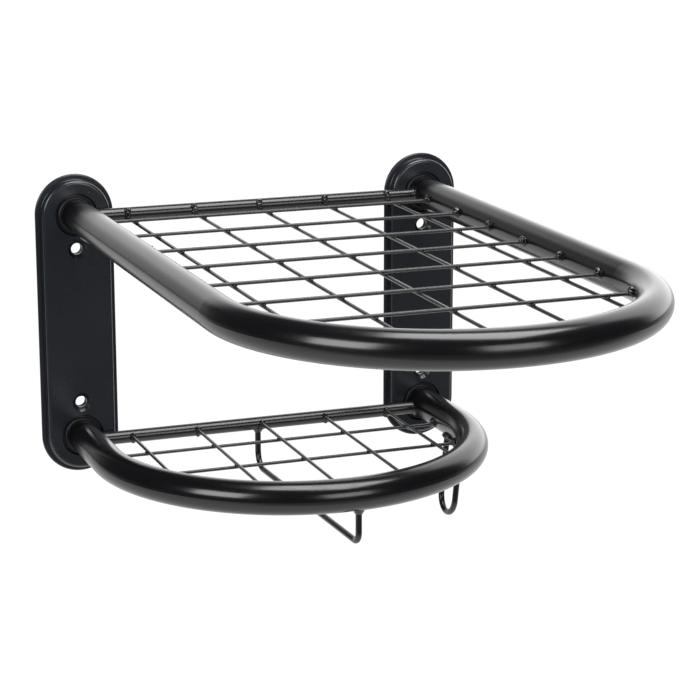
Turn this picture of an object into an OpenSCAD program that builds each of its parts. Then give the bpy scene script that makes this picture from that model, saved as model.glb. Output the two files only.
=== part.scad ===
// Wall rack with two round-fronted wire shelves.
// Two pressed wall plates carry two bent tubes, one above the other. Each tube
// frames a welded wire shelf. A rail for hangers and a hook hang under the lower one.
//
// Frame: X runs along the wall to the right, Y into the wall, Z up. The origin is
// the centre of the four screw holes, on the plane of the wall behind the plates.

/* [Shelf tubes] */
// Distance between the two arms of a shelf tube, centre to centre
arm_spacing = 290; // [200:1:420]
// Height between the two shelf tubes, centre to centre
shelf_rise = 177; // [150:1:320]
// Outside diameter of the shelf tubes
tube_d = 25; // [19:0.5:32]
// Wall thickness of the shelf tubes
tube_wall = 1.5; // [1:0.1:2.5]
// Reach of the upper shelf from the wall to the centre of its front bend
upper_reach = 515; // [380:1:640]
// Reach of the lower shelf from the wall to the centre of its front bend
lower_reach = 229; // [190:1:420]

/* [Wall plates] */
// Width of a wall plate's raised face outside the seats
face_margin = 10; // [7:0.25:20]
// Depth of a wall plate from the wall to its front face
plate_depth = 10; // [8:0.5:14]
// Sheet thickness of the wall plates
sheet = 2; // [1.5:0.1:3]
// Width of the rim that stands out around the front face
rim_reach = 4.25; // [3:0.25:6]
// Diameter of the screw holes
hole_d = 9; // [5:0.5:11]
// Distance of a screw hole inside the nearest tube's centre
hole_inset = 27; // [25:0.5:40]
// Width of the pressed dimple around a screw hole, outside the hole
hole_margin = 3; // [2:0.25:4]
// Width of the pressed seat around a shelf tube, outside the tube
seat_margin = 4.25; // [3.5:0.25:6]
// How far seats and dimples are pressed in from the front face
press_depth = 3; // [2:0.25:4]

/* [Back bars] */
// Diameter of the solid bars that join the arms near the wall
bar_d = 10.4; // [8:0.2:14]
// Distance from the wall to the centre of the back bars
bar_out = 18; // [16:0.5:30]
// Drop of the lower back bar below its tube's centre
lower_bar_drop = 2.2; // [0:0.1:4]

/* [Shelf wires] */
// Diameter of the shelf wires
wire_d = 2.6; // [2:0.1:4]
// Distance from an arm's centre to the nearest wire that runs out from the wall
edge_gap = 37; // [25:0.5:60]
// Distance from the wall to the upper shelf's first cross wire
upper_first = 49; // [40:1:70]
// Distance from the upper shelf's last cross wire to the centre of the front bend
upper_last_gap = 104; // [40:1:120]
// Distance from the wall to the lower shelf's first cross wire
lower_first = 64.5; // [40:0.5:80]
// Distance from the lower shelf's last cross wire to the centre of the front bend
lower_last_gap = 107; // [60:0.5:110]
// Drop of the upper shelf's wires below the tube's centre
upper_wire_drop = 1; // [0:0.1:4]
// Drop of the lower shelf's wires below the tube's centre
lower_wire_drop = 2.7; // [0:0.1:4]

/* [Hanger rail] */
// Diameter of the rod that the rail and the side hook are bent from
rod_d = 4.8; // [4:0.2:8]
// Sideways place of the rail's wall end from the middle of the rack
rail_back_x = -2; // [-30:0.5:30]
// Sideways place of the rail's front end from the middle of the rack
rail_front_x = 4.5; // [-30:0.5:30]
// Drop of the rail below the lower tube's centre
rail_drop = 38; // [30:1:60]
// Bend radius at the rail's wall end, at the rod's centre
rail_back_bend = 13; // [6:0.5:20]
// Bend radius at the rail's front end, at the rod's centre
rail_front_bend = 8; // [6:0.5:20]

/* [Side hook] */
// Distance from the hook's front leg back from the lower shelf's last cross wire
hook_setback = 6; // [5:0.5:12]
// Width of the hook's bend, centre to centre of the rod
hook_gap = 27; // [16:1:40]
// Outward lean of the hook's legs towards their ends, in degrees
hook_lean = 5.5; // [2:0.5:9]
// Drop of the hook's lowest point below the lower tube's centre
hook_drop = 69; // [52:1:100]

/* [Joining gaps] */
// Clearance between a tube and the hole that it passes through
tube_clearance = 0.15; // [0.1:0.05:0.5]
// Gap at the touching line of two welded rods, filled by their welds
weld_gap = 0.05; // [0.02:0.01:0.2]
// Leg length of the weld around each tube at its seat
seat_weld = 1.75; // [1:0.25:2]
// Width of the flared weld at each end of the hanger rail
rail_weld_d = 10.5; // [9:0.5:14]
// Height of the flared weld at each end of the hanger rail
rail_weld_h = 4; // [2:0.5:6]

/* [Hidden] */
fine = 96;
small = 48;
past = 1;                                 // how far cutting tools run past a face
tube_r = tube_d / 2;
arm_x = arm_spacing / 2;
bend_r = arm_spacing / 2;                 // the front bend is a half circle
upper_z = shelf_rise / 2;
lower_z = -shelf_rise / 2;
hole_z = upper_z - hole_inset;

// Wall plates
rim_t = 2.4;                              // thickness of the rolled rim
seat_d = tube_d + 2 * seat_margin;
face_r = seat_d / 2 + face_margin;        // half width of the raised part
rim_r = face_r + rim_reach;               // half width of the plate
hole_dimple_d = hole_d + 2 * hole_margin;
shoulder_r = 2.5;                         // rounding at the edge of the front face
groove_r = 0.8;                           // groove between the rim and the raised part
seat_slope = 1.2;                         // width of a seat's sloping side
hole_slope = hole_margin - 0.5;           // a dimple slopes nearly down to its hole
dish_floor = plate_depth - press_depth;
dish_back = dish_floor - sheet;
spacer_d = hole_dimple_d + 6;
tube_start = 1;                           // gap between the wall and the ends of the tubes
rail_weld_lip = 0.5;                      // thickness of a flared weld at its lower end

// Bars, wires and rods
bar_r = bar_d / 2;
wire_r = wire_d / 2;
rod_r = rod_d / 2;
trim_r = tube_r + weld_gap;               // bars, wires and rods stop here at a tube
wire_step = wire_r + weld_gap / 2;        // from the shelf's middle to each layer of wires
upper_cross = 7;
lower_cross = 2;
long_count = 5;
long_pitch = (arm_spacing - 2 * edge_gap) / (long_count - 1);
upper_pitch = (upper_reach - upper_last_gap - upper_first) / (upper_cross - 1);
lower_pitch = (lower_reach - lower_last_gap - lower_first) / (lower_cross - 1);
function long_x(i) = (i - (long_count + 1) / 2) * long_pitch;

// Hanger rail and side hook
rail_z = lower_z - rail_drop;
rail_front = lower_reach - bend_r + sqrt(bend_r * bend_r - rail_front_x * rail_front_x);
rail_turn = atan((rail_front_x - rail_back_x) / (rail_front - bar_out));
rail_length = (rail_front - bar_out) / cos(rail_turn);
lower_bar_z = lower_z - lower_bar_drop;
hook_bend = hook_gap / 2;
hook_out = lower_reach - lower_last_gap - hook_setback - hook_bend;
hook_z = lower_z - hook_drop + rod_r + hook_bend;
hook_end_drop = 0.55 * tube_r;            // the legs end low on the tube's inner side
hook_end_x = arm_x - sqrt(trim_r * trim_r - hook_end_drop * hook_end_drop);
hook_leg = (lower_z - hook_end_drop - hook_z) / cos(hook_lean);
hook_x = hook_end_x - hook_leg * sin(hook_lean);

function numbered(name, count) = [for (i = [1:count]) str(name, i)];

// ---------- helpers ----------

// Cylinder or cone from the wall outwards, between two distances from the wall
module out_of_wall(r, from, to, r2 = undef) {
    translate([0, -from, 0])
        rotate([90, 0, 0])
            cylinder(h = to - from, r1 = r, r2 = is_undef(r2) ? r : r2, $fn = fine);
}

// Rod along the wall, centred, with its axis at a distance from the wall
module along_wall(r, half_length, out) {
    translate([0, -out, 0])
        rotate([0, 90, 0])
            cylinder(h = 2 * half_length, r = r, center = true, $fn = small);
}

// Solid of a bent shelf tube: two straight arms and a half-circle front
module loop_solid(r, reach, start) {
    straight = reach - bend_r;
    for (side = [-1, 1])
        translate([side * arm_x, 0, 0])
            out_of_wall(r, start, straight);
    translate([0, -straight, 0])
        rotate([0, 0, 180])
            rotate_extrude(angle = 180, $fn = 2 * fine)
                translate([bend_r, 0])
                    circle(r = r, $fn = small);
}

// ---------- wall plates ----------

// Half section of a plate's edge: distance from its middle line, distance from the wall
module plate_edge_solid() {
    difference() {
        union() {
            square([rim_r - rim_t / 2, rim_t]);
            translate([rim_r - rim_t / 2, rim_t / 2])
                circle(d = rim_t, $fn = small);
            square([face_r - shoulder_r, plate_depth]);
            square([face_r, plate_depth - shoulder_r]);
            translate([face_r - shoulder_r, plate_depth - shoulder_r])
                circle(r = shoulder_r, $fn = small);
        }
        translate([face_r + groove_r / 2, rim_t + groove_r])
            circle(r = groove_r, $fn = small);
        translate([-past, -past])
            square([face_r - sheet + past, plate_depth - sheet - shoulder_r + sheet / 2 + past]);
        square([face_r - sheet - shoulder_r + sheet / 2, plate_depth - sheet]);
        translate([face_r - shoulder_r - sheet / 2, plate_depth - shoulder_r - sheet / 2])
            circle(r = shoulder_r - sheet / 2, $fn = small);
    }
}

// Sweeps the half section around the plate's long round-ended outline
module around_plate() {
    for (end = [0, 1])
        mirror([0, 0, end])
            translate([0, 0, upper_z])
                rotate([90, 0, 0])
                    rotate_extrude(angle = 180, $fn = 2 * fine)
                        plate_edge_solid();
    for (side = [0, 1])
        mirror([side, 0, 0])
            translate([0, 0, -upper_z])
                linear_extrude(height = shelf_rise)
                    mirror([0, 1])
                        plate_edge_solid();
}

// Space pressed in around a tube or a screw
module dish(outer_d, slope) {
    slope_past = past * slope / press_depth;
    out_of_wall(outer_d / 2 - slope, dish_floor, plate_depth + past, outer_d / 2 + slope_past);
}

// Sheet behind a dish
module dish_backing(outer_d, slope) {
    out_of_wall(outer_d / 2 - slope + sheet, dish_back, plate_depth - sheet / 2,
                outer_d / 2 + sheet);
}

module wall_plate(side) {
    color([0.13, 0.13, 0.135])
        translate([side * arm_x, 0, 0])
            difference() {
                union() {
                    around_plate();
                    for (end = [-1, 1]) {
                        translate([0, 0, end * upper_z])
                            dish_backing(seat_d, seat_slope);
                        translate([0, 0, end * hole_z])
                            dish_backing(hole_dimple_d, hole_slope);
                    }
                }
                for (end = [-1, 1]) {
                    translate([0, 0, end * upper_z]) {
                        dish(seat_d, seat_slope);
                        out_of_wall(tube_r + tube_clearance, -past, plate_depth + past);
                    }
                    translate([0, 0, end * hole_z]) {
                        dish(hole_dimple_d, hole_slope);
                        out_of_wall(hole_d / 2, -past, plate_depth + past);
                    }
                }
            }
}

// Two flat rings behind the screw holes, so the screws don't crush the pressed plate
module screw_spacers(side) {
    color([0.1, 0.1, 0.1])
        for (end = [-1, 1])
            translate([side * arm_x, 0, end * hole_z])
                difference() {
                    out_of_wall(spacer_d / 2, 0, dish_back - weld_gap);
                    out_of_wall(hole_d / 2, -past, dish_back + past);
                }
}

// Fillet welds between the tubes and the floors of their seats
module seat_welds(side) {
    root = tube_r + weld_gap;
    color([0.1, 0.1, 0.1])
        for (end = [-1, 1])
            translate([side * arm_x, -dish_floor - weld_gap, end * upper_z])
                rotate([90, 0, 0])
                    rotate_extrude($fn = fine)
                        polygon([[root, 0], [root + seat_weld, 0], [root, seat_weld]]);
}

// ---------- tubes and back bars ----------

module loop_tube(reach, z) {
    color([0.07, 0.07, 0.075])
        translate([0, 0, z])
            difference() {
                loop_solid(tube_r, reach, tube_start);
                loop_solid(tube_r - tube_wall, reach, tube_start - past);
            }
}

// Solid bar between the arms, its ends shaped to the tubes
module back_bar(shelf_z, z) {
    color([0.09, 0.09, 0.095])
        difference() {
            translate([0, 0, z])
                along_wall(bar_r, arm_x, bar_out);
            for (side = [-1, 1])
                translate([side * arm_x, 0, shelf_z])
                    out_of_wall(trim_r, 0, bar_out + 2 * bar_r);
        }
}

// ---------- shelf wires ----------

// Wire across a shelf, from one side of the tube to the other
module cross_wire(shelf_z, z, reach, out) {
    past_bend = max(0, out - (reach - bend_r));
    color([0.12, 0.12, 0.12])
        difference() {
            translate([0, 0, z])
                along_wall(wire_r, sqrt(bend_r * bend_r - past_bend * past_bend), out);
            translate([0, 0, shelf_z])
                loop_solid(trim_r, reach, 0);
        }
}

// Wire from the back bar out to the front bend
module long_wire(shelf_z, bar_z, z, reach, x) {
    color([0.12, 0.12, 0.12])
        difference() {
            translate([x, 0, z])
                out_of_wall(wire_r, bar_out, reach - bend_r + sqrt(bend_r * bend_r - x * x));
            translate([0, 0, shelf_z])
                loop_solid(trim_r, reach, 0);
            translate([0, 0, bar_z])
                along_wall(bar_r + weld_gap, arm_x, bar_out);
        }
}

// ---------- rail and hook under the lower shelf ----------

// Turns the upright plane of the rail about its leg at the wall
module in_rail_plane() {
    translate([rail_back_x, -bar_out, 0])
        rotate([0, 0, rail_turn])
            children();
}

// Quarter bend of the rail's rod, from a leg down to the level run
module quarter_bend(radius) {
    rotate([0, 90, 0])
        rotate_extrude(angle = 90, $fn = fine)
            translate([radius, 0])
                circle(r = rod_r, $fn = small);
}

module upright_rod(r, from, to) {
    translate([0, 0, from])
        cylinder(h = to - from, r = r, $fn = small);
}

// The back bar and the tube that the rail hangs from, with their weld gap
module rail_hosts() {
    translate([0, 0, lower_bar_z])
        along_wall(bar_r + weld_gap, arm_x, bar_out);
    translate([0, 0, lower_z])
        loop_solid(trim_r, lower_reach, 0);
}

module hanger_rail() {
    color([0.1, 0.1, 0.1])
        difference() {
            in_rail_plane() {
                upright_rod(rod_r, rail_z + rail_back_bend, lower_z);
                translate([0, -rail_back_bend, rail_z + rail_back_bend])
                    quarter_bend(rail_back_bend);
                translate([0, 0, rail_z])
                    out_of_wall(rod_r, rail_back_bend, rail_length - rail_front_bend);
                translate([0, -rail_length + rail_front_bend, rail_z + rail_front_bend])
                    mirror([0, 1, 0])
                        quarter_bend(rail_front_bend);
                translate([0, -rail_length, 0])
                    upright_rod(rod_r, rail_z + rail_front_bend, lower_z);
            }
            rail_hosts();
        }
}

// Flared weld around a leg of the rail, hugging the round bar or tube above it
module rail_weld(host_r, host_z, along) {
    hug_r = min(rail_weld_d / 2, 0.8 * host_r);
    top = host_z - sqrt(host_r * host_r - hug_r * hug_r);
    translate([0, -along, top - rail_weld_h])
        cylinder(h = rail_weld_h, r1 = rod_r + rail_weld_lip, r2 = rail_weld_d / 2, $fn = small);
}

module hanger_rail_welds() {
    color([0.1, 0.1, 0.1])
        difference() {
            in_rail_plane()
                difference() {
                    union() {
                        rail_weld(bar_r, lower_bar_z, 0);
                        rail_weld(tube_r, lower_z, rail_length);
                    }
                    for (along = [0, rail_length])
                        translate([0, -along, 0])
                            upright_rod(rod_r + weld_gap, rail_z, lower_z);
                }
            rail_hosts();
        }
}

// U-shaped hook. Its legs lean outwards to the inner side of the right arm, where their
// ends are shaped to the tube.
module side_hook() {
    color([0.1, 0.1, 0.1])
        difference() {
            translate([hook_x, -hook_out, hook_z])
                rotate([0, hook_lean, 0]) {
                    for (side = [-1, 1])
                        translate([0, side * hook_bend, 0])
                            upright_rod(rod_r, 0, hook_leg);
                    rotate([0, 90, 0])
                        rotate([0, 0, -90])
                            rotate_extrude(angle = 180, $fn = fine)
                                translate([hook_bend, 0])
                                    circle(r = rod_r, $fn = small);
                }
            translate([0, 0, lower_z])
                loop_solid(trim_r, lower_reach, 0);
        }
}

// ---------- assembly ----------

wall_plate(-1);  // left_wall_plate
wall_plate(1);  // right_wall_plate
screw_spacers(-1);  // left_screw_spacers
screw_spacers(1);  // right_screw_spacers
seat_welds(-1);  // left_seat_welds
seat_welds(1);  // right_seat_welds
loop_tube(upper_reach, upper_z);  // upper_loop_tube
loop_tube(lower_reach, lower_z);  // lower_loop_tube
back_bar(upper_z, upper_z);  // upper_back_bar
back_bar(lower_z, lower_bar_z);  // lower_back_bar
for (i = [1:upper_cross])
    cross_wire(upper_z, upper_z - upper_wire_drop + wire_step, upper_reach,
                   upper_first + (i - 1) * upper_pitch);
for (i = [1:long_count])
    long_wire(upper_z, upper_z, upper_z - upper_wire_drop - wire_step, upper_reach,
                  long_x(i));
for (i = [1:lower_cross])
    cross_wire(lower_z, lower_z - lower_wire_drop - wire_step, lower_reach,
                   lower_first + (i - 1) * lower_pitch);
for (i = [1:long_count])
    long_wire(lower_z, lower_bar_z, lower_z - lower_wire_drop + wire_step, lower_reach,
                  long_x(i));
hanger_rail();
hanger_rail_welds();
side_hook();
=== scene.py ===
"""Looks of a wall rack with two round-fronted wire shelves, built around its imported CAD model.

All sizes are in metres, in the rack's own frame: X along the wall, Y into it, Z up, and the
origin at the centre of the four screw holes, on the plane of the wall.
"""
import math

import bmesh
import bpy
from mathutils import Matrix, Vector, noise


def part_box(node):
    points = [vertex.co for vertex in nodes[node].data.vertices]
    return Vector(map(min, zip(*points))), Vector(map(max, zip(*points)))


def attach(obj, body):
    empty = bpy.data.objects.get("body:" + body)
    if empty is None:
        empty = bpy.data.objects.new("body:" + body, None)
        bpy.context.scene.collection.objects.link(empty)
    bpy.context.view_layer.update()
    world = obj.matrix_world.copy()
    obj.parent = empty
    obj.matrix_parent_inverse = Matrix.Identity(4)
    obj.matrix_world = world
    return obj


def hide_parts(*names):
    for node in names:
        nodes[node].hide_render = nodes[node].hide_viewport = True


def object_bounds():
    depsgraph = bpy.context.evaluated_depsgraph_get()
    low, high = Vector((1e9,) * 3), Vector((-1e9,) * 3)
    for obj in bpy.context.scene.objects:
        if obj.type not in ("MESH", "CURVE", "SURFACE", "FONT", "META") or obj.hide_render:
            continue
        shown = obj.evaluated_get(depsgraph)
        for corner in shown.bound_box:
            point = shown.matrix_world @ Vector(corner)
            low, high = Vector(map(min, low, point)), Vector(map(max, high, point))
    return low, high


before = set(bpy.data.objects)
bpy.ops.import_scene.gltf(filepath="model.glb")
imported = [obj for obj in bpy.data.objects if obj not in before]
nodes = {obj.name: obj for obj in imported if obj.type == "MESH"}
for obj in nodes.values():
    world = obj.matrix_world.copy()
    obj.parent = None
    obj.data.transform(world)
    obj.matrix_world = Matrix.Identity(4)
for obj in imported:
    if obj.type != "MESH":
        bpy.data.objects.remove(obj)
cad_low, cad_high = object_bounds()

# ---------------------------------------------------------------------------------------
# Wall plates: two long round-ended pressings of 2 mm steel sheet, with a rolled rim, a
# pressed seat round each tube and a dimple round each screw hole. They are powder coated
# in satin black together with the whole rack after welding, and screwed to the wall.
# ---------------------------------------------------------------------------------------


def add_node(tree, kind, place, **values):
    """A node of one kind at a place in the editor, with its settings and input values."""
    made = tree.nodes.new(kind)
    made.location = place
    for name, value in values.items():
        if name in made.inputs and not hasattr(made, name):
            made.inputs[name].default_value = value
        else:
            setattr(made, name, value)
    return made


def add_math(tree, place, operation, *values):
    """A sum, product or the like of values that are numbers or other nodes' outputs."""
    made = add_node(tree, "ShaderNodeMath", place, operation=operation)
    for socket, value in zip(made.inputs, values):
        if isinstance(value, float):
            socket.default_value = value
        else:
            tree.links.new(value, socket)
    return made.outputs[0]


def powder_coat_group():
    """Baked powder paint: soft clouding, faint orange peel and a few pale dust nibs."""
    group = bpy.data.node_groups.new("Powder coat", "ShaderNodeTree")
    sockets = (
        ("Position", "INPUT", "NodeSocketVector", None),
        ("Paint", "INPUT", "NodeSocketColor", (0.01, 0.01, 0.011, 1)),
        ("Clouding", "INPUT", "NodeSocketFloat", 0.25),
        ("Gloss roughness", "INPUT", "NodeSocketFloat", 0.35),
        ("Peel size", "INPUT", "NodeSocketFloat", 0.0014),
        ("Peel depth", "INPUT", "NodeSocketFloat", 0.000012),
        ("Nibs", "INPUT", "NodeSocketFloat", 0.3),
        ("Colour", "OUTPUT", "NodeSocketColor", None),
        ("Roughness", "OUTPUT", "NodeSocketFloat", None),
        ("Normal", "OUTPUT", "NodeSocketVector", None),
    )
    for name, direction, kind, value in sockets:
        made = group.interface.new_socket(name, in_out=direction, socket_type=kind)
        if value is not None:
            made.default_value = value
    inside = add_node(group, "NodeGroupInput", (-1200, 0))
    outside = add_node(group, "NodeGroupOutput", (900, 0))
    link = group.links.new

    # Clouds a few centimetres across, in the colour and in the gloss
    cloud_colour = (0.012, 0.012, 0.0135, 1)
    cloud_roughness = 0.07
    clouds = add_node(group, "ShaderNodeTexNoise", (-900, 300), Scale=28.0, Detail=4.0,
                      Roughness=0.6)
    link(inside.outputs["Position"], clouds.inputs["Vector"])
    cloud_amount = add_math(group, (-650, 300), "MULTIPLY", clouds.outputs["Fac"],
                            inside.outputs["Clouding"])
    lighter = add_node(group, "ShaderNodeMix", (-350, 420), data_type="RGBA")
    lighter.blend_type = "ADD"
    lighter.inputs["B"].default_value = cloud_colour
    link(cloud_amount, lighter.inputs["Factor"])
    link(inside.outputs["Paint"], lighter.inputs["A"])
    gloss = add_math(group, (250, 60), "MULTIPLY_ADD", clouds.outputs["Fac"],
                     cloud_roughness, inside.outputs["Gloss roughness"])
    link(gloss, outside.inputs["Roughness"])

    # Dust that was caught in the paint: rare specks under a millimetre across
    dust_colour = (0.32, 0.31, 0.3, 1)
    speck_edge, speck_core = 0.045, 0.03
    share_kept = 0.22
    specks = add_node(group, "ShaderNodeTexVoronoi", (-900, -350), Scale=95.0)
    link(inside.outputs["Position"], specks.inputs["Vector"])
    near_speck = add_node(group, "ShaderNodeMapRange", (-650, -350))
    near_speck.inputs["From Min"].default_value = speck_edge
    near_speck.inputs["From Max"].default_value = speck_core
    link(specks.outputs["Distance"], near_speck.inputs["Value"])
    lot = add_node(group, "ShaderNodeSeparateColor", (-650, -560))
    link(specks.outputs["Color"], lot.inputs["Color"])
    kept = add_math(group, (-430, -560), "LESS_THAN", lot.outputs["Red"], share_kept)
    speck_mask = add_math(group, (-250, -400), "MULTIPLY", near_speck.outputs["Result"], kept)
    nib_mask = add_math(group, (-60, -400), "MULTIPLY", speck_mask, inside.outputs["Nibs"])
    with_nibs = add_node(group, "ShaderNodeMix", (250, 300), data_type="RGBA")
    with_nibs.inputs["B"].default_value = dust_colour
    link(nib_mask, with_nibs.inputs["Factor"])
    link(lighter.outputs["Result"], with_nibs.inputs["A"])
    link(with_nibs.outputs["Result"], outside.inputs["Colour"])

    # Orange peel, with the specks standing a little proud
    peel_scale = add_math(group, (-900, -50), "DIVIDE", 1.0, inside.outputs["Peel size"])
    peel = add_node(group, "ShaderNodeTexNoise", (-650, -50), Detail=2.0, Roughness=0.45)
    link(inside.outputs["Position"], peel.inputs["Vector"])
    link(peel_scale, peel.inputs["Scale"])
    height = add_math(group, (100, -150), "ADD", peel.outputs["Fac"], speck_mask)
    bump = add_node(group, "ShaderNodeBump", (450, -150), Strength=1.0)
    link(inside.outputs["Peel depth"], bump.inputs["Distance"])
    link(height, bump.inputs["Height"])
    link(bump.outputs["Normal"], outside.inputs["Normal"])
    return group


powder_coat = powder_coat_group()


def coated_material(name, paint, clouding, roughness, peel_size, peel_depth, nibs):
    """Powder-coated steel, in one of the rack's finishes."""
    material = bpy.data.materials.new(name)
    material.use_nodes = True
    tree = material.node_tree
    tree.nodes.clear()
    link = tree.links.new
    place = add_node(tree, "ShaderNodeTexCoord", (-700, 0))
    coat = add_node(tree, "ShaderNodeGroup", (-450, 0), node_tree=powder_coat)
    for socket, value in (("Paint", (*paint, 1)), ("Clouding", clouding),
                          ("Gloss roughness", roughness), ("Peel size", peel_size),
                          ("Peel depth", peel_depth), ("Nibs", nibs)):
        coat.inputs[socket].default_value = value
    surface = add_node(tree, "ShaderNodeBsdfPrincipled", (-150, 0), IOR=1.5)
    out = add_node(tree, "ShaderNodeOutputMaterial", (150, 0))
    link(place.outputs["Object"], coat.inputs["Position"])
    link(coat.outputs["Colour"], surface.inputs["Base Color"])
    link(coat.outputs["Roughness"], surface.inputs["Roughness"])
    link(coat.outputs["Normal"], surface.inputs["Normal"])
    link(surface.outputs["BSDF"], out.inputs["Surface"])
    return material


def finish_node(name, material):
    """Gives a CAD node its finish."""
    mesh = nodes[name].data
    mesh.materials.clear()
    mesh.materials.append(material)


plate_coating = coated_material("Plate coating", paint=(0.0098, 0.0122, 0.0162), clouding=0.25,
                                roughness=0.2, peel_size=0.0016, peel_depth=0.000012, nibs=0.2)
for side in ("left", "right"):
    finish_node(side + "_wall_plate", plate_coating)

# ---------------------------------------------------------------------------------------
# Screw spacers: two flat steel rings behind each plate, at its screw holes. They are coated
# like the plate and keep a tightened screw from crushing the pressed sheet.
# ---------------------------------------------------------------------------------------
spacer_coating = coated_material("Spacer coating", paint=(0.007, 0.007, 0.008), clouding=0.2,
                                 roughness=0.65, peel_size=0.0012, peel_depth=0.00001,
                                 nibs=0.1)
for side in ("left", "right"):
    finish_node(side + "_screw_spacers", spacer_coating)

# ---------------------------------------------------------------------------------------
# Shelf tubes: one 25 mm steel tube per shelf, bent to two arms and a half-circle front.
# The arms pass into the plates' seats and are welded there; the paint is smooth and
# glossier than on the plates.
# ---------------------------------------------------------------------------------------
tube_coating = coated_material("Tube coating", paint=(0.0028, 0.0028, 0.0034), clouding=0.1,
                               roughness=0.17, peel_size=0.0022, peel_depth=0.000008, nibs=0.5)
for shelf in ("upper", "lower"):
    finish_node(shelf + "_loop_tube", tube_coating)

# ---------------------------------------------------------------------------------------
# Seat welds: a fillet bead round each arm where it enters its plate. The bead is weld metal
# laid by hand, so it is built as low overlapping ripples in place of the CAD's plain ring.
# ---------------------------------------------------------------------------------------
seat_weld_coating = coated_material("Seat weld coating", paint=(0.003, 0.003, 0.0034),
                                    clouding=0.1, roughness=0.42, peel_size=0.0015,
                                    peel_depth=0.00001, nibs=0.0)


def add_object(name, data):
    """Puts a mesh, a light or the camera into the scene."""
    made = bpy.data.objects.new(name, data)
    bpy.context.scene.collection.objects.link(made)
    return made


def new_piece(name, bm, material):
    """Turns a finished bmesh into a smooth piece that is welded to the rack."""
    mesh = bpy.data.meshes.new(name)
    bmesh.ops.recalc_face_normals(bm, faces=bm.faces)
    bm.to_mesh(mesh)
    bm.free()
    mesh.materials.append(material)
    for face in mesh.polygons:
        face.use_smooth = True
    piece = add_object(name, mesh)
    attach(piece, "root")
    return piece


def unevenness(point, size, seed):
    """Uneven height of hand-laid weld metal at a point, from -1 to 1."""
    return noise.fractal(point / size + Vector((seed, 2.3 * seed, -1.7 * seed)), 1.0, 2.2, 3)


def ripple_ring(bm, centre, radius, leg, seed):
    """A fillet bead round an arm: overlapping crescents, leaning against tube and plate."""
    around, across = 160, 7
    ripples, ripple_height = 34, 0.05
    lump_size, lump_height = 0.003, 0.05
    sunk = 0.0004
    rings = []
    for i in range(around):
        turn = 2 * math.pi * i / around
        out = Vector((math.cos(turn), 0, math.sin(turn)))
        swell = ripple_height * math.sin(ripples * turn + 0.6 * math.sin(5 * turn + seed))
        row = []
        for j in range(across):
            tilt = math.pi / 2 * j / (across - 1)
            side = Vector((0, -1, 0)) * math.sin(tilt) + out * math.cos(tilt)
            lumps = lump_height * unevenness(centre + out * radius + side * leg, lump_size, seed)
            height = 1 + swell * math.sin(2 * tilt) + lumps
            row.append(bm.verts.new(centre + out * radius + side * leg * height))
        row.append(bm.verts.new(centre + out * (radius - sunk)))
        rings.append(row)
    for i in range(around):
        here, beyond = rings[i], rings[(i + 1) % around]
        for j in range(across + 1):
            k = (j + 1) % (across + 1)
            bm.faces.new((here[j], beyond[j], beyond[k], here[k]))


tube_low, tube_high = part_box("upper_loop_tube")
tube_radius = (tube_high.z - tube_low.z) / 2
for number, side in enumerate(("left", "right")):
    low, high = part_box(side + "_seat_welds")
    width = high.x - low.x
    bm = bmesh.new()
    for level, height in enumerate((low.z + width / 2, high.z - width / 2)):
        foot = Vector(((low.x + high.x) / 2, high.y, height))
        ripple_ring(bm, foot, tube_radius, width / 2 - tube_radius, 3 * number + level)
    beads = new_piece(side + "_seat_beads", bm, seat_weld_coating)
    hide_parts(side + "_seat_welds")

# ---------------------------------------------------------------------------------------
# Back bars: a solid 10 mm bar between the arms of each shelf, close to the wall, which
# holds the arms apart and carries the wires. Each end is welded to its arm with a collar.
# ---------------------------------------------------------------------------------------
weld_coating = coated_material("Weld coating", paint=(0.004, 0.004, 0.0045), clouding=0.2,
                               roughness=0.12, peel_size=0.0011, peel_depth=0.00003, nibs=0.1)
rod_coating = coated_material("Rod coating", paint=(0.004, 0.004, 0.0045), clouding=0.15,
                              roughness=0.2, peel_size=0.0024, peel_depth=0.000003, nibs=0.2)
for shelf in ("upper", "lower"):
    finish_node(shelf + "_back_bar", rod_coating)


def collar_weld(bm, foot, along, foot_radius, top_radius, length, seed):
    """A lumpy weld that flares from a rod down to the piece it is joined to."""
    around, steps = 20, 8
    lump_size, lump_height, smoothing = 0.0022, 0.22, 0.6
    along = along.normalized()
    across = along.orthogonal().normalized()
    third = along.cross(across)
    rows = []
    for j in range(steps + 1):
        share = j / steps
        radius = top_radius + (foot_radius - top_radius) * (1 - share) ** 2
        row = []
        for i in range(around):
            turn = 2 * math.pi * i / around
            out = across * math.cos(turn) + third * math.sin(turn)
            point = foot + along * (length * share) + out * radius
            row.append(bm.verts.new(point + out * (lump_height * radius * (1 - smoothing * share))
                                    * unevenness(point, lump_size, seed)))
        rows.append(row)
    for j in range(steps):
        for i in range(around):
            k = (i + 1) % around
            bm.faces.new((rows[j][i], rows[j][k], rows[j + 1][k], rows[j + 1][i]))
    bm.faces.new(rows[0])
    bm.faces.new(rows[-1])


collar_cover = 0.0002
bar_collar_flare, bar_collar_length, bar_collar_sunk = 0.0022, 0.0042, 0.0008
bm = bmesh.new()
for number, shelf in enumerate(("upper", "lower")):
    low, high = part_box(shelf + "_back_bar")
    bar_radius = (high.z - low.z) / 2
    middle = (low + high) / 2
    for end, x in ((1, low.x), (-1, high.x)):
        foot = Vector((x - end * bar_collar_sunk, middle.y, middle.z))
        collar_weld(bm, foot, Vector((end, 0, 0)), bar_radius + bar_collar_flare,
                    bar_radius + collar_cover, bar_collar_length, 11 * number + end)
new_piece("back_bar_welds", bm, weld_coating)

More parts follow.
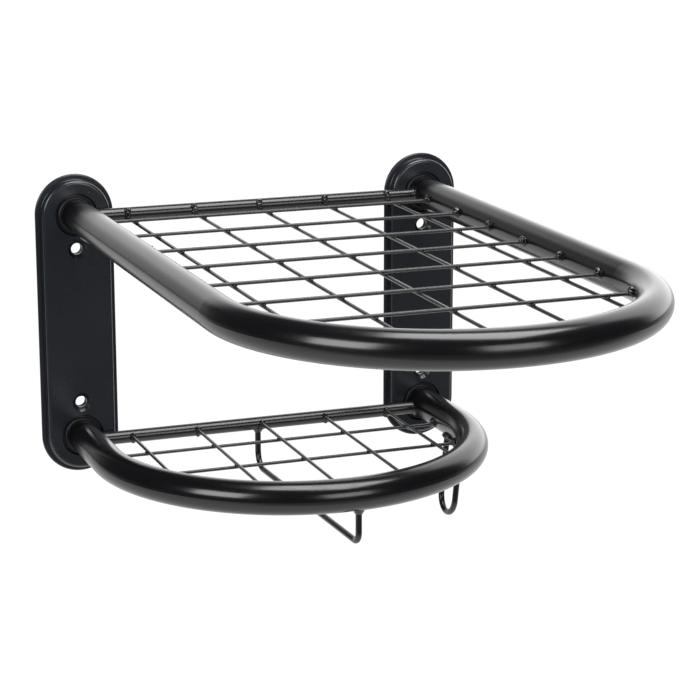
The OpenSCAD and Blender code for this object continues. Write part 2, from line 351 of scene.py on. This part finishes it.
# ---------------------------------------------------------------------------------------
# Shelf wires: 2.6 mm drawn wire, five running out from the wall and seven or two across.
# They are resistance welded where they cross and arc welded, roughly, where they end.
# ---------------------------------------------------------------------------------------
wire_coating = coated_material("Wire coating", paint=(0.008, 0.008, 0.009), clouding=0.15,
                               roughness=0.22, peel_size=0.0018, peel_depth=0.000002, nibs=0.1)
shelves = {"upper": ([], []), "lower": ([], [])}
for name in sorted(nodes):
    shelf, _, kind = name.partition("_")
    if kind.startswith("cross_wire"):
        shelves[shelf][0].append(name)
    elif kind.startswith("long_wire"):
        shelves[shelf][1].append(name)
    else:
        continue
    finish_node(name, wire_coating)


def weld_nugget(bm, centre, size, seed):
    """One lump of weld metal, with its half sizes along X, Y and Z."""
    lump_size, lump_height = 0.0016, 0.3
    made = bmesh.ops.create_icosphere(bm, subdivisions=3, radius=1.0)
    for vert in made["verts"]:
        out = vert.co.normalized()
        point = Vector((out.x * size[0], out.y * size[1], out.z * size[2]))
        vert.co = centre + point * (1 + lump_height * unevenness(centre + point, lump_size, seed))


wire_collar_sunk = 0.0006
cross_collar_flare, cross_collar_length = 0.0022, 0.0055
long_collar_flare, long_collar_length = 0.0016, 0.0042
# Lumps on the end of a wire: the place past the end, aside and above, the half sizes along
# X, Y and Z, and what is added to the seed
cross_end_lumps = (((0.0014, 0.0004, 0.0022), (0.0027, 0.0025, 0.0026), 0.5),
                   ((0.0032, -0.0012, 0.0012), (0.0017, 0.0016, 0.0015), 0.7))
long_end_lumps = (((0.001, 0.0003, 0.0011), (0.0022, 0.0018, 0.002), 0.5),)
# Lumps over the front of the bar: degrees above its middle and the half width. They run
# upwards on the upper shelf, and downwards on the lower one, whose wires rest higher
bar_lumps = {"upper": ((12, 0.0022), (38, 0.0025)), "lower": ((-14, 0.0021), (-34, 0.0018))}
bar_lump_proud = 0.0004
crossing_size = (0.0018, 0.0018, 0.0009)
for shelf, (cross_wires, long_wires) in shelves.items():
    # Wire ends: a flared collar and lumps on it, each one a little different
    bm = bmesh.new()
    for number, name in enumerate(cross_wires):
        low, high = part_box(name)
        radius = (high.z - low.z) / 2
        middle = (low + high) / 2
        for end, x in ((1, low.x), (-1, high.x)):
            seed = 5 * number + end
            foot = Vector((x - end * wire_collar_sunk, middle.y, middle.z))
            collar_weld(bm, foot, Vector((end, 0, 0)), radius + cross_collar_flare,
                        radius + collar_cover, cross_collar_length, seed)
            for (past, aside, above), size, added in cross_end_lumps:
                weld_nugget(bm, foot + Vector((end * past, aside, above)), size, seed + added)
    bar_low, bar_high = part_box(shelf + "_back_bar")
    bar_middle = (bar_low + bar_high) / 2
    bar_radius = (bar_high.z - bar_low.z) / 2
    for number, name in enumerate(long_wires):
        low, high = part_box(name)
        radius = (high.z - low.z) / 2
        middle = (low + high) / 2
        for end, y in ((1, low.y), (-1, high.y)):
            seed = 40 + 5 * number + end
            foot = Vector((middle.x, y - end * wire_collar_sunk, middle.z))
            collar_weld(bm, foot, Vector((0, end, 0)), radius + long_collar_flare,
                        radius + collar_cover, long_collar_length, seed)
            for (past, aside, above), size, added in long_end_lumps:
                weld_nugget(bm, foot + Vector((aside, end * past, above)), size, seed + added)
        for lump, (climb, size) in enumerate(bar_lumps[shelf]):
            climb = math.radians(climb + 5 * math.sin(3.1 * number))
            spot = Vector((middle.x + 0.0006 * math.sin(2.3 * number + lump),
                           bar_middle.y - (bar_radius + bar_lump_proud) * math.cos(climb),
                           bar_middle.z + (bar_radius + bar_lump_proud) * math.sin(climb)))
            weld_nugget(bm, spot, (size, 0.8 * size, 0.9 * size), seed + 0.3 * lump)
    new_piece(shelf + "_wire_end_welds", bm, weld_coating)

    # Crossings: the two wires are pressed together, with a small fillet between them
    bm = bmesh.new()
    for row, cross_name in enumerate(cross_wires):
        cross_low, cross_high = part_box(cross_name)
        for column, long_name in enumerate(long_wires):
            long_low, long_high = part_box(long_name)
            x = (long_low.x + long_high.x) / 2
            y = (cross_low.y + cross_high.y) / 2
            if y < long_low.y or not cross_low.x < x < cross_high.x:
                continue
            z = (cross_low.z + cross_high.z + long_low.z + long_high.z) / 4
            weld_nugget(bm, Vector((x, y, z)), crossing_size, 7 * row + column)
    new_piece(shelf + "_crossing_welds", bm, weld_coating)

# ---------------------------------------------------------------------------------------
# Hanger rail: one 4.8 mm rod bent down, level and up again, for the hooks of coat hangers.
# Both ends are welded under the lower shelf with a flared collar.
# ---------------------------------------------------------------------------------------
finish_node("hanger_rail", rod_coating)
finish_node("hanger_rail_welds", weld_coating)

# ---------------------------------------------------------------------------------------
# Side hook: a U of the same rod, for a strap or gloves. Its legs lean out to the low inner
# side of the lower right arm, and one rough weld run along the arm takes in both ends.
# ---------------------------------------------------------------------------------------
finish_node("side_hook", rod_coating)
hook_low, hook_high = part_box("side_hook")
tube_low, tube_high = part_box("lower_loop_tube")
rod_radius = 0.0024
tube_radius = (tube_high.z - tube_low.z) / 2
bend_radius = tube_high.x - tube_radius
bend_middle = Vector((0, tube_low.y + tube_radius + bend_radius, (tube_low.z + tube_high.z) / 2))
leg_spots = (hook_high.y - rod_radius, hook_low.y + rod_radius)


def arm_surface(y, droop):
    """A point on the low inner side of the right arm or its bend, and the way out of it."""
    ahead = min(0, y - bend_middle.y)
    axis = Vector((math.sqrt(bend_radius ** 2 - ahead ** 2), y, bend_middle.z))
    inwards = Vector((bend_middle.x - axis.x, -ahead, 0)).normalized()
    droop = math.radians(droop)
    out = inwards * math.cos(droop) - Vector((0, 0, 1)) * math.sin(droop)
    return axis + out * tube_radius, out


bm = bmesh.new()
# The run: two rows of lumps from just past one leg to just past the other, each with its
# droop in degrees and its half length
run_spots, run_over, run_proud = 10, 0.002, 0.0006
run_rows = ((36, 0.0027), (52, 0.0025))
run_start = leg_spots[0] + run_over
run_length = leg_spots[0] - leg_spots[1] + 2 * run_over
for step in range(run_spots):
    y = run_start - run_length * step / (run_spots - 1)
    for row, (droop, size) in enumerate(run_rows):
        spot, out = arm_surface(y, droop + 5 * math.sin(1.7 * step))
        weld_nugget(bm, spot + out * run_proud, (0.8 * size, size, 0.9 * size),
                    0.37 * (len(run_rows) * step + row))
# More weld metal on both sides of each leg, down the arm
leg_lumps, leg_droop, leg_droop_step, leg_proud = 3, 34, 9, 0.0014
leg_lump_size = (0.0024, 0.0019, 0.0022)
for number, y in enumerate(leg_spots):
    for side in (-1, 1):
        for step in range(leg_lumps):
            spot, out = arm_surface(y + side * rod_radius, leg_droop + leg_droop_step * step)
            weld_nugget(bm, spot + out * leg_proud, leg_lump_size,
                        3 * number + side + 0.3 * step)
new_piece("side_hook_welds", bm, weld_coating)

# ---------------------------------------------------------------------------------------
# Studio: a pale floor far below the rack, a dark room in front, a lit white wall behind,
# and three soft boxes: overhead, on the left and in front on the right.
# ---------------------------------------------------------------------------------------
floor_height, floor_radius = -1.15, 30.0
white_background = 1.05
floor_mesh = bpy.data.meshes.new("Floor")
bm = bmesh.new()
bmesh.ops.create_circle(bm, cap_ends=True, segments=96, radius=floor_radius)
bmesh.ops.translate(bm, verts=bm.verts, vec=(0, 0, floor_height))
bm.to_mesh(floor_mesh)
bm.free()
add_object("Floor", floor_mesh)


def soft_step(tree, place, source, dark, light, top=1.0):
    """A soft step of light, from nothing to its top, as a measure goes from dark to light."""
    step = add_node(tree, "ShaderNodeMapRange", place, interpolation_type="SMOOTHSTEP")
    step.inputs["From Min"].default_value = dark
    step.inputs["From Max"].default_value = light
    step.inputs["To Max"].default_value = top
    tree.links.new(source, step.inputs["Value"])
    return step.outputs["Result"]


floor_paint = bpy.data.materials.new("Floor paint")
floor_paint.use_nodes = True
tree = floor_paint.node_tree
link = tree.links.new
surface = tree.nodes["Principled BSDF"]
surface.inputs["Roughness"].default_value = 0.9
surface.inputs["Emission Color"].default_value = (1, 1, 1, 1)
place = add_node(tree, "ShaderNodeTexCoord", (-1300, 0))
mottle = add_node(tree, "ShaderNodeTexNoise", (-650, 200), Scale=3.0, Detail=3.0)
pale = add_node(tree, "ShaderNodeValToRGB", (-400, 200))
pale.color_ramp.elements[0].color = (0.4, 0.4, 0.4, 1)
pale.color_ramp.elements[1].color = (0.44, 0.44, 0.44, 1)
link(place.outputs["Object"], mottle.inputs["Vector"])
link(mottle.outputs["Fac"], pale.inputs["Fac"])
link(pale.outputs["Color"], surface.inputs["Base Color"])

# Painted light: the floor glows on its own under the rack and behind it, where lamp light would
# fall, and the glow fades at the sides and in front
parts = add_node(tree, "ShaderNodeSeparateXYZ", (-1050, -200))
link(place.outputs["Object"], parts.inputs["Vector"])
not_in_front = soft_step(tree, (-800, -200), parts.outputs["Y"], -2.0, -1.4)
shifted = add_node(tree, "ShaderNodeVectorMath", (-1200, -550), operation="ADD")
shifted.inputs[1].default_value = (1.6, 0, 0)
link(place.outputs["Object"], shifted.inputs[0])
from_middle = add_node(tree, "ShaderNodeVectorMath", (-1050, -450), operation="LENGTH")
link(shifted.outputs["Vector"], from_middle.inputs[0])
towards_wall = add_node(tree, "ShaderNodeVectorMath", (-1050, -650), operation="DOT_PRODUCT")
towards_wall.inputs[1].default_value = (0.5, 0.866, 0)
link(shifted.outputs["Vector"], towards_wall.inputs[0])
to_sides = add_math(tree, (-900, -550), "SUBTRACT", from_middle.outputs["Value"],
                    towards_wall.outputs["Value"])
not_far = soft_step(tree, (-800, -450), to_sides, 4.2, 2.5, top=0.75)
painted_floor_glow = add_math(tree, (-550, -300), "MULTIPLY", not_in_front, not_far)
link(painted_floor_glow, surface.inputs["Emission Strength"])

# The camera sees it as plain white
bright = add_node(tree, "ShaderNodeEmission", (50, -500), Strength=white_background)
path = add_node(tree, "ShaderNodeLightPath", (50, 350))
chosen = add_node(tree, "ShaderNodeMixShader", (300, 100))
link(path.outputs["Is Camera Ray"], chosen.inputs["Fac"])
link(surface.outputs["BSDF"], chosen.inputs[1])
link(bright.outputs["Emission"], chosen.inputs[2])
link(chosen.outputs["Shader"], tree.nodes["Material Output"].inputs["Surface"])
floor_mesh.materials.append(floor_paint)

# The room, as the rack's surfaces reflect it, by heading from straight behind and by height
world = bpy.data.worlds.new("Studio room")
bpy.context.scene.world = world
world.use_nodes = True
tree = world.node_tree
tree.nodes.clear()
link = tree.links.new
direction = add_node(tree, "ShaderNodeTexCoord", (-1500, 0))
parts = add_node(tree, "ShaderNodeSeparateXYZ", (-1300, 0))
link(direction.outputs["Generated"], parts.inputs["Vector"])
heading = add_math(tree, (-1100, 100), "ARCTAN2", parts.outputs["X"], parts.outputs["Y"])
rise = parts.outputs["Z"]

# Behind the rack: a lit wall below, brighter and taller to the right, and a dim warm left end
wall_brightness, sheet_brightness = 1.4, 2.0
wall_start = soft_step(tree, (-850, 500), heading, -0.4, -0.06)
wall_top = soft_step(tree, (-850, 250), rise, 0.55, 0.37)
wall = add_math(tree, (-600, 400), "MULTIPLY", wall_start, wall_top)
wall = add_math(tree, (-500, 400), "MULTIPLY", wall, wall_brightness)
sheet_start = soft_step(tree, (-850, 0), heading, 0.1, 0.5)
sheet_top = soft_step(tree, (-850, -250), rise, 0.79, 0.66)
sheet = add_math(tree, (-600, -100), "MULTIPLY", sheet_start, sheet_top)
sheet = add_math(tree, (-500, -100), "MULTIPLY", sheet, sheet_brightness)
right_end = soft_step(tree, (-850, -500), heading, 1.5, 1.2)
lit = add_math(tree, (-400, 200), "MAXIMUM", wall, sheet)
lit = add_math(tree, (-250, 200), "MULTIPLY", lit, right_end)
left_start = soft_step(tree, (-850, -750), heading, -0.75, -0.25)
left_top = soft_step(tree, (-850, -1000), rise, 0.4, 0.1)
warm = add_math(tree, (-600, -850), "MULTIPLY", left_start, left_top)
warm = add_math(tree, (-450, -850), "MULTIPLY", warm, right_end)
room = add_node(tree, "ShaderNodeMix", (-250, -300), data_type="RGBA")
room.inputs["A"].default_value = (0.06, 0.06, 0.066, 1)
room.inputs["B"].default_value = (0.46, 0.42, 0.41, 1)
seen_by_surfaces = add_node(tree, "ShaderNodeMix", (-50, 0), data_type="RGBA")
seen_by_surfaces.blend_type = "ADD"
seen_by_surfaces.clamp_factor = False
seen_by_surfaces.inputs["B"].default_value = (1, 1, 1, 1)
reflected = add_node(tree, "ShaderNodeBackground", (150, 0))
seen_by_camera = add_node(tree, "ShaderNodeBackground", (150, -150))
seen_by_camera.inputs["Color"].default_value = (white_background, white_background,
                                                white_background, 1)
path = add_node(tree, "ShaderNodeLightPath", (150, 350))
chosen = add_node(tree, "ShaderNodeMixShader", (350, 0))
out = add_node(tree, "ShaderNodeOutputWorld", (550, 0))
link(warm, room.inputs["Factor"])
link(lit, seen_by_surfaces.inputs["Factor"])
link(room.outputs["Result"], seen_by_surfaces.inputs["A"])
link(seen_by_surfaces.outputs["Result"], reflected.inputs["Color"])
link(path.outputs["Is Camera Ray"], chosen.inputs["Fac"])
link(reflected.outputs["Background"], chosen.inputs[1])
link(seen_by_camera.outputs["Background"], chosen.inputs[2])
link(chosen.outputs["Shader"], out.inputs["Surface"])

rack_middle = (cad_low + cad_high) / 2


def soft_box(name, heading, elevation, distance, width, height, brightness):
    """A soft box aimed at the rack. Heading 0 is in front of it and 90 to its right, and
    brightness is the radiance of its face."""
    data = bpy.data.lights.new(name, "AREA")
    data.shape = "RECTANGLE"
    data.size = width
    data.size_y = height
    data.energy = brightness * math.pi * width * height
    light = add_object(name, data)
    turn, rise = math.radians(heading), math.radians(elevation)
    away = Vector((math.sin(turn) * math.cos(rise), -math.cos(turn) * math.cos(rise),
                   math.sin(rise)))
    light.location = rack_middle + away * distance
    light.rotation_mode = "QUATERNION"
    light.rotation_quaternion = away.to_track_quat("Z", "Y")
    light.visible_camera = False


soft_box("Overhead soft box", heading=55, elevation=78, distance=2.2, width=1.35, height=1.7,
         brightness=9.0)
soft_box("Left soft box", heading=-61, elevation=23, distance=2.2, width=1.1, height=1.1,
         brightness=8.0)
soft_box("Front right soft box", heading=15, elevation=16, distance=2.4, width=1.1,
         height=1.0, brightness=4.6)

# ---------------------------------------------------------------------------------------
# Camera: a long lens, a little to the left of the rack and above the upper shelf.
# ---------------------------------------------------------------------------------------
camera_data = bpy.data.cameras.new("Camera")
camera_data.lens = 116.67
camera_data.sensor_width = 36.0
camera_data.clip_start, camera_data.clip_end = 0.05, 100.0
camera = add_object("Camera", camera_data)
bpy.context.scene.camera = camera
camera_heading, camera_elevation = math.radians(-20.83), math.radians(14.03)
camera_distance = 1.55
looked_at = Vector((-0.0265, -0.2924, 0.0366))
camera.location = looked_at + camera_distance * Vector((
    math.sin(camera_heading) * math.cos(camera_elevation),
    -math.cos(camera_heading) * math.cos(camera_elevation),
    math.sin(camera_elevation)))
camera.rotation_euler = (math.pi / 2 - camera_elevation, 0, camera_heading)

bpy.context.scene.view_settings.view_transform = "Standard"
bpy.context.scene.view_settings.look = "None"
